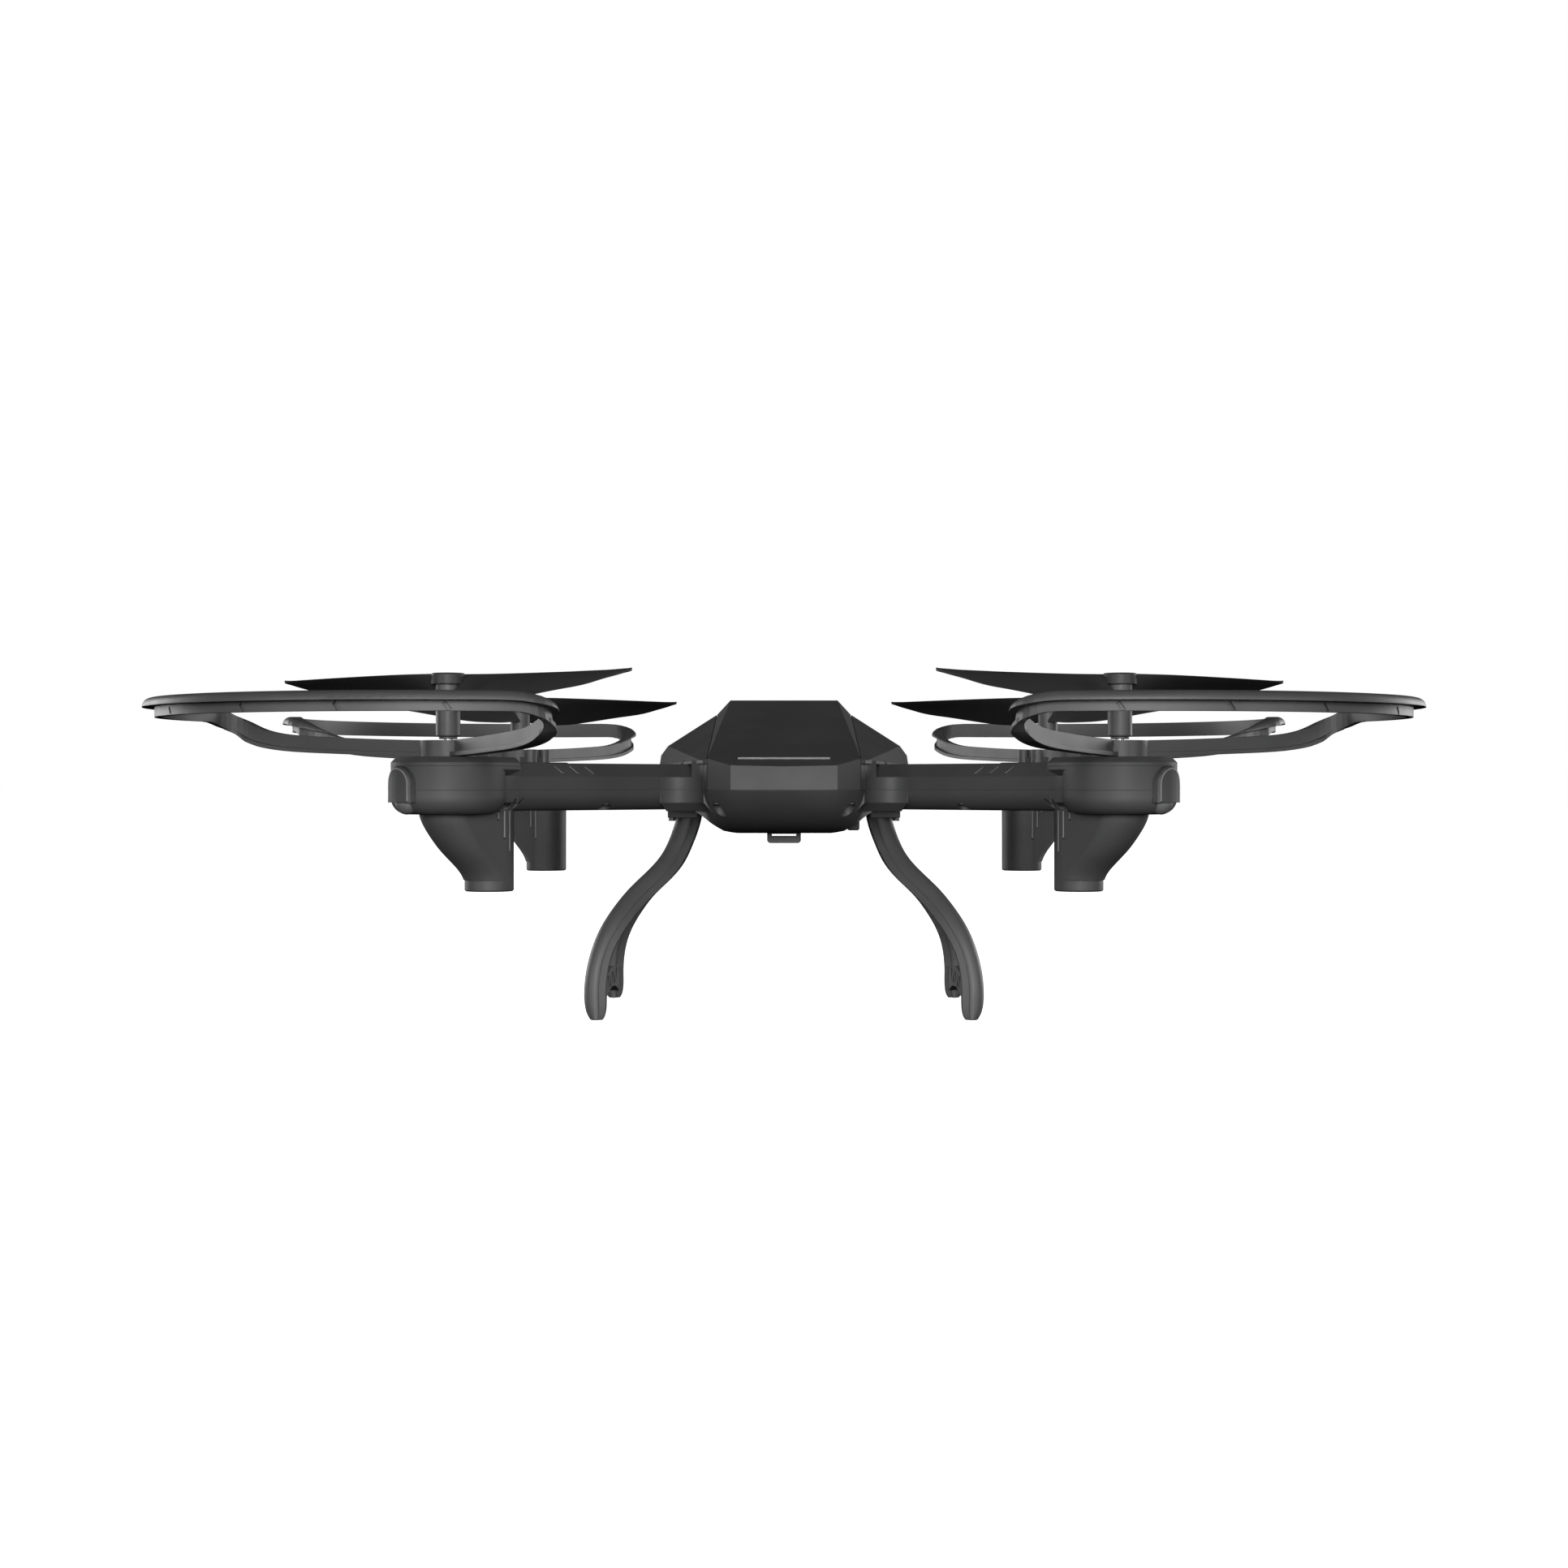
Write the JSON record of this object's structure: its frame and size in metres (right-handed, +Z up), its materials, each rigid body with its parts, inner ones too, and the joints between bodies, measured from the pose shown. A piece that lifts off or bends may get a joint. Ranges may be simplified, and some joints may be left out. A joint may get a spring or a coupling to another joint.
{
  "type": "quadcopter drone",
  "caption": "Geared quadcopter with an X frame, faceted canopy, motor tubes, sector propeller guards and arched landing skids; rotors and pinions turn, belly door and switch move.",
  "frame": {"origin": "on the floor under the middle of the aircraft, midway between the four propeller shafts", "axes": "+Z up, -Y toward the nose, +X to the right seen from the front"},
  "size_m": [0.2742, 0.2742, 0.0791],
  "materials": {
    "body": "fine matt moulded",
    "guard": "smooth moulded",
    "skid": "smooth moulded",
    "propeller": "semi gloss",
    "lens": "smoked clear plastic",
    "gear": "natural nylon",
    "steel": "ground",
    "bearing": "polished",
    "motor": "drawn can",
    "brass": "turned",
    "screw": "black oxide",
    "board": "solder mask",
    "chip": "moulded",
    "battery_wrap": "foil wrap",
    "port": "plated"
  },
  "bodies": {
    "airframe": {"lower_shell": "body", "upper_shell": "body", "canopy_cover": "body", "light_bar": "lens", "circuit_board": "board", "board_chips": "chip", "battery": "battery_wrap", "charge_port": "port", "switch_body": "chip", "led_caps": "body", "led_lenses": "lens", "shell_screws": "screw", "guard_screws": "screw", "skid_screws": "screw", "shaft_bearings": "bearing", "skid_left": "skid", "skid_right": "skid", "motor_pod_fl": "body", "motor_can_fl": "motor", "gear_cover_fl": "body", "prop_guard_fl": "guard", "motor_pod_fr": "body", "motor_can_fr": "motor", "gear_cover_fr": "body", "prop_guard_fr": "guard", "motor_pod_rl": "body", "motor_can_rl": "motor", "gear_cover_rl": "body", "prop_guard_rl": "guard", "motor_pod_rr": "body", "motor_can_rr": "motor", "gear_cover_rr": "body", "prop_guard_rr": "guard"},
    "rotor_fl": {"propeller_fl": "propeller", "prop_shaft_fl": "steel", "drive_gear_fl": "gear", "mast_sleeve_fl": "guard", "prop_screw_fl": "screw"},
    "motor_rotor_fl": {"pinion_fl": "brass"},
    "rotor_fr": {"propeller_fr": "propeller", "prop_shaft_fr": "steel", "drive_gear_fr": "gear", "mast_sleeve_fr": "guard", "prop_screw_fr": "screw"},
    "motor_rotor_fr": {"pinion_fr": "brass"},
    "rotor_rl": {"propeller_rl": "propeller", "prop_shaft_rl": "steel", "drive_gear_rl": "gear", "mast_sleeve_rl": "guard", "prop_screw_rl": "screw"},
    "motor_rotor_rl": {"pinion_rl": "brass"},
    "rotor_rr": {"propeller_rr": "propeller", "prop_shaft_rr": "steel", "drive_gear_rr": "gear", "mast_sleeve_rr": "guard", "prop_screw_rr": "screw"},
    "motor_rotor_rr": {"pinion_rr": "brass"},
    "belly_door": {"battery_door": "body"},
    "switch_slider": {"power_switch": "body"}
  },
  "joints": [
    {"name": "rotor_fl_spin", "type": "hinge", "parent": "airframe", "child": "rotor_fl", "pos_m": [-0.0728, -0.0728, 0.0567], "axis": [0, 0, 1], "continuous": true},
    {"name": "pinion_fl_spin", "type": "hinge", "parent": "airframe", "child": "motor_rotor_fl", "pos_m": [-0.06485, -0.06485, 0.0565], "axis": [0, 0, 1], "continuous": true},
    {"name": "rotor_fr_spin", "type": "hinge", "parent": "airframe", "child": "rotor_fr", "pos_m": [0.0728, -0.0728, 0.0567], "axis": [0, 0, 1], "continuous": true},
    {"name": "pinion_fr_spin", "type": "hinge", "parent": "airframe", "child": "motor_rotor_fr", "pos_m": [0.06485, -0.06485, 0.0565], "axis": [0, 0, 1], "continuous": true},
    {"name": "rotor_rl_spin", "type": "hinge", "parent": "airframe", "child": "rotor_rl", "pos_m": [-0.0728, 0.0728, 0.0567], "axis": [0, 0, 1], "continuous": true},
    {"name": "pinion_rl_spin", "type": "hinge", "parent": "airframe", "child": "motor_rotor_rl", "pos_m": [-0.06485, 0.06485, 0.0565], "axis": [0, 0, 1], "continuous": true},
    {"name": "rotor_rr_spin", "type": "hinge", "parent": "airframe", "child": "rotor_rr", "pos_m": [0.0728, 0.0728, 0.0567], "axis": [0, 0, 1], "continuous": true},
    {"name": "pinion_rr_spin", "type": "hinge", "parent": "airframe", "child": "motor_rotor_rr", "pos_m": [0.06485, 0.06485, 0.0565], "axis": [0, 0, 1], "continuous": true},
    {"name": "belly_door_hinge", "type": "hinge", "parent": "airframe", "child": "belly_door", "pos_m": [0, 0.02, 0.04415], "axis": [1, 0, 0], "range_deg": [0, 95]},
    {"name": "power_switch_slide", "type": "slide", "parent": "airframe", "child": "switch_slider", "axis": [0, 1, 0], "range_m": [0, 0.002]}
  ],
  "couplings": [
    {"joint": "pinion_fl_spin", "follows": "rotor_fl_spin", "ratio": -4},
    {"joint": "pinion_fr_spin", "follows": "rotor_fr_spin", "ratio": -4},
    {"joint": "pinion_rl_spin", "follows": "rotor_rl_spin", "ratio": -4},
    {"joint": "pinion_rr_spin", "follows": "rotor_rr_spin", "ratio": -4}
  ]
}
